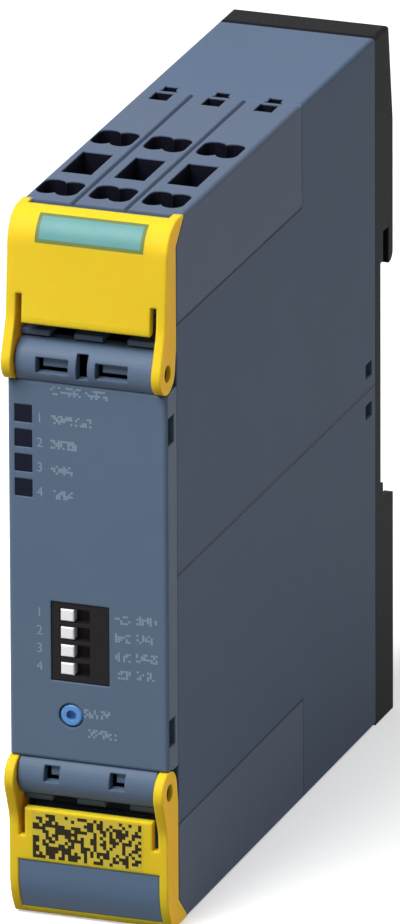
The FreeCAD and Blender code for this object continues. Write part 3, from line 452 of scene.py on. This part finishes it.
# two-dimensional code on the lower cover: an olive ground and a field of dark marks that holds no data
GROUND_LEFT, GROUND_RIGHT, GROUND_LOW, GROUND_HIGH = -8.0, 7.6, 9.0, 15.5
GROUND_FACE = LOWER_COVER_FACE - GROUND_LIFT
CODE_MARGIN = 0.3                   # from the edge of the ground to the middle of the outer marks
ground = mesh_piece("code_ground", [(GROUND_LEFT, GROUND_FACE, GROUND_LOW),
                                    (GROUND_RIGHT, GROUND_FACE, GROUND_LOW),
                                    (GROUND_RIGHT, GROUND_FACE, GROUND_HIGH),
                                    (GROUND_LEFT, GROUND_FACE, GROUND_HIGH)], [(0, 1, 2, 3)], [code_ground])
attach(ground, "lower_cover")
marks = made_by(mark_field, "code_marks", code_ink, Across=34, Up=14, Mark=mm(0.47), Share=0.48, Seed=11,
                Width=mm(GROUND_RIGHT - GROUND_LEFT - 2 * CODE_MARGIN),
                Height=mm(GROUND_HIGH - GROUND_LOW - 2 * CODE_MARGIN),
                Centre=mm((GROUND_LEFT + GROUND_RIGHT) / 2, LOWER_COVER_FACE - CODE_LIFT,
                          (GROUND_LOW + GROUND_HIGH) / 2))
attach(marks, "lower_cover")

# numbers 1 to 4, left of the levers and right of the windows
NUMBER_SIZE = 1.9
PRINT_NUMBERS = [(-6.9, level) for level in LEVER_LEVELS] + [(-6.7, level - 0.4) for level in WINDOW_LEVELS]
for number, (x, level) in enumerate(PRINT_NUMBERS):
    text = bpy.data.curves.new("print_number", "FONT")
    text.body = str(number % 4 + 1)
    text.size = mm(NUMBER_SIZE)
    text.align_x = "CENTER"
    text.align_y = "CENTER"
    holder = bpy.data.objects.new("holder", text)
    bpy.context.scene.collection.objects.link(holder)
    mesh = bpy.data.meshes.new_from_object(holder.evaluated_get(bpy.context.evaluated_depsgraph_get()))
    bpy.data.objects.remove(holder)
    for vertex in mesh.vertices:
        vertex.co = Vector((vertex.co.x + mm(x), mm(FRONT - INK_LIFT), vertex.co.y + mm(level)))
    mesh.materials.clear()
    mesh.materials.append(front_ink)
    digit = bpy.data.objects.new("print_number_%d" % (number + 1), mesh)
    bpy.context.scene.collection.objects.link(digit)
    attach(digit, "relay_body")


# ---------------------------------------------------------------- stage, light and camera
FLOOR_REACH = 3000                  # each way from the relay
FLOOR_GLOW = 0.5                    # lifts the floor to white where it is looked at
SKY_FILL = 0.28                     # what the white surroundings give as light
SKY_SEEN = 1.0                      # how bright they look


def seen_or_mirrored(tree):
    """1 where the camera, a reflection or clear plastic looks, 0 for the light that bounces."""
    path = add(tree, "ShaderNodeLightPath").outputs
    two = add(tree, "ShaderNodeMath", {0: path["Is Camera Ray"], 1: path["Is Glossy Ray"]},
              operation="MAXIMUM")
    return add(tree, "ShaderNodeMath", {0: two.outputs[0], 1: path["Is Transmission Ray"]},
               operation="MAXIMUM").outputs[0]


# the floor bounces like grey card, looks white and still takes the shadow
floor_paint, floor_tree = new_material("floor_pale")
paint = add(floor_tree, "ShaderNodeMix", {"Factor": seen_or_mirrored(floor_tree), "A": linear("#7c7c7c"),
                                          "B": linear("#f2f2f2")}, data_type="RGBA")
floor_lit = add(floor_tree, "ShaderNodeBsdfDiffuse", {"Color": paint.outputs["Result"]})
floor_glow = add(floor_tree, "ShaderNodeMath", {0: seen_or_mirrored(floor_tree), 1: FLOOR_GLOW},
                 operation="MULTIPLY")
floor_white = add(floor_tree, "ShaderNodeEmission", {"Color": (1, 1, 1, 1),
                                                     "Strength": floor_glow.outputs[0]})
floor_surface = add(floor_tree, "ShaderNodeAddShader", {0: floor_lit.outputs["BSDF"],
                                                        1: floor_white.outputs["Emission"]})
add(floor_tree, "ShaderNodeOutputMaterial", {"Surface": floor_surface.outputs["Shader"]})
floor = mesh_piece("floor", [(-FLOOR_REACH, -FLOOR_REACH, 0), (FLOOR_REACH, -FLOOR_REACH, 0),
                             (FLOOR_REACH, FLOOR_REACH, 0), (-FLOOR_REACH, FLOOR_REACH, 0)],
                   [(0, 1, 2, 3)], [floor_paint])

world = bpy.data.worlds.new("studio")
bpy.context.scene.world = world
world.use_nodes = True
world.node_tree.nodes.clear()
sky_strength = add(world.node_tree, "ShaderNodeMapRange", {"Value": seen_or_mirrored(world.node_tree),
                                                           "To Min": SKY_FILL, "To Max": SKY_SEEN})
sky = add(world.node_tree, "ShaderNodeBackground", {"Color": (1, 1, 1, 1),
                                                    "Strength": sky_strength.outputs["Result"]})
add(world.node_tree, "ShaderNodeOutputWorld", {"Surface": sky.outputs["Background"]})


def softbox(name, place, size, watts):
    """Square soft light aimed at the middle of the relay.  place and size are in metres."""
    data = bpy.data.lights.new(name, "AREA")
    data.size = size
    data.energy = watts
    light = bpy.data.objects.new(name, data)
    light.location = place
    light.rotation_euler = (Vector(mm(0, 0, SEAM)) - light.location).to_track_quat("-Z", "Y").to_euler()
    bpy.context.scene.collection.objects.link(light)


softbox("key", place=(-0.24, -0.50, 0.79), size=0.5, watts=10.6)


def aim_camera(azimuth, elevation, roll, distance, target, lens):
    """Long lens from the front, a little to the right and above.  Angles in degrees, the rest in metres."""
    data = bpy.data.cameras.new("camera")
    data.lens = lens
    data.clip_end = 20
    turn, rise = math.radians(azimuth), math.radians(elevation)
    back = Vector((math.sin(turn) * math.cos(rise), -math.cos(turn) * math.cos(rise), math.sin(rise)))
    camera = bpy.data.objects.new("camera", data)
    camera.location = Vector(target) + back * distance
    level = back.to_track_quat("Z", "Y").to_matrix()
    spin = math.radians(roll)
    right, up = level.col[0].copy(), level.col[1].copy()
    side = right * math.cos(spin) + up * math.sin(spin)
    top = up * math.cos(spin) - right * math.sin(spin)
    level.col[0], level.col[1] = side, top
    camera.rotation_euler = level.to_euler()
    bpy.context.scene.collection.objects.link(camera)
    bpy.context.scene.camera = camera


aim_camera(azimuth=19.78, elevation=20.0, roll=-0.245, distance=2.585, target=mm(-0.06, 0.0, 50.85),
           lens=745)
bpy.context.scene.view_settings.view_transform = "Standard"
